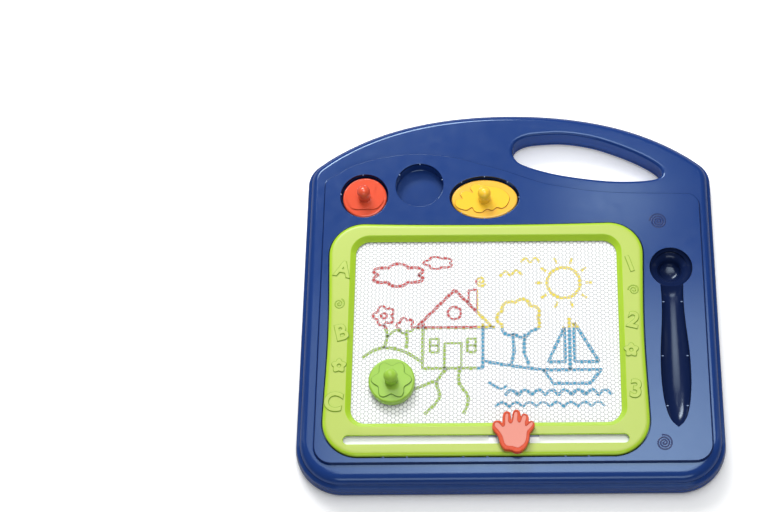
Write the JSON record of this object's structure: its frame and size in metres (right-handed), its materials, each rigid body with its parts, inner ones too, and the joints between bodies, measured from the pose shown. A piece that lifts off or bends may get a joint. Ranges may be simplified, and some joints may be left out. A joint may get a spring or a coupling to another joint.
{
  "type": "magnetic drawing board",
  "caption": "Children's magnetic drawing board: framed honeycomb screen in a two-part shell with a grip hole, pen well, sliding hand eraser and lift-off magnetic stamps.",
  "frame": {"origin": "centre of the board's outline, on the plane of its flat back", "axes": "+Z out of the drawing side, +Y up the board towards the grip hole, +X to the right seen from the drawing side"},
  "size_m": [0.3534, 0.3444, 0.0492],
  "materials": {
    "blue_shell": "smooth satin-gloss moulded plastic",
    "lime_bezel": "smooth gloss moulded plastic",
    "clear_film": "clear gloss film",
    "white_cell": "white cell sheet filled with opaque fluid",
    "white_plastic": "smooth white plastic",
    "grey_plastic": "smooth grey-blue plastic",
    "red_plastic": "gloss orange-red plastic",
    "salmon_plastic": "satin salmon plastic",
    "yellow_plastic": "gloss yellow plastic",
    "green_plastic": "gloss green plastic",
    "magnet": "dark bonded magnet",
    "steel": "plain steel screws"
  },
  "bodies": {
    "board": {"back_shell": "blue_shell", "bezel_screw_1": "steel", "bezel_screw_2": "steel", "bezel_screw_3": "steel", "bezel_screw_4": "steel", "bezel_screw_5": "steel", "bezel_screw_6": "steel", "bezel_screw_7": "steel", "bezel_screw_8": "steel", "eraser_track": "white_plastic", "front_shell": "blue_shell", "screen_back_film": "white_plastic", "screen_bezel": "lime_bezel", "screen_clamp_frame": "white_plastic", "screen_front_film": "clear_film", "screen_honeycomb": "white_cell", "shell_screw_1": "steel", "shell_screw_2": "steel", "shell_screw_3": "steel", "shell_screw_4": "steel", "shell_screw_5": "steel", "shell_screw_6": "steel", "shell_screw_7": "steel", "shell_screw_8": "steel", "shell_screw_9": "steel", "track_screw_1": "steel", "track_screw_2": "steel", "track_screw_3": "steel", "track_screw_4": "steel"},
    "eraser": {"bar_screw_1": "steel", "bar_screw_2": "steel", "eraser_bar": "grey_plastic", "eraser_carriage": "grey_plastic", "eraser_knob": "red_plastic", "eraser_knob_face": "salmon_plastic", "eraser_magnet": "magnet", "knob_screw": "steel"},
    "red_stamp": {"red_stamp_base": "red_plastic", "red_stamp_cap": "red_plastic", "red_stamp_magnet": "magnet"},
    "yellow_stamp": {"yellow_stamp_base": "yellow_plastic", "yellow_stamp_cap": "yellow_plastic", "yellow_stamp_magnet": "magnet"},
    "green_stamp": {"green_stamp_base": "green_plastic", "green_stamp_cap": "green_plastic", "green_stamp_magnet": "magnet"}
  },
  "joints": [
    {"name": "eraser_slide", "type": "slide", "parent": "board", "child": "eraser", "axis": [1, 0, 0], "range_m": [-0.1242, 0.0792]},
    {"name": "red_stamp_lift", "type": "slide", "parent": "board", "child": "red_stamp", "axis": [0, 0, 1], "range_m": [0, 0.05]},
    {"name": "yellow_stamp_lift", "type": "slide", "parent": "board", "child": "yellow_stamp", "axis": [0, 0, 1], "range_m": [0, 0.05]},
    {"name": "green_stamp_lift", "type": "slide", "parent": "board", "child": "green_stamp", "axis": [0, 0, 1], "range_m": [0, 0.05]}
  ]
}
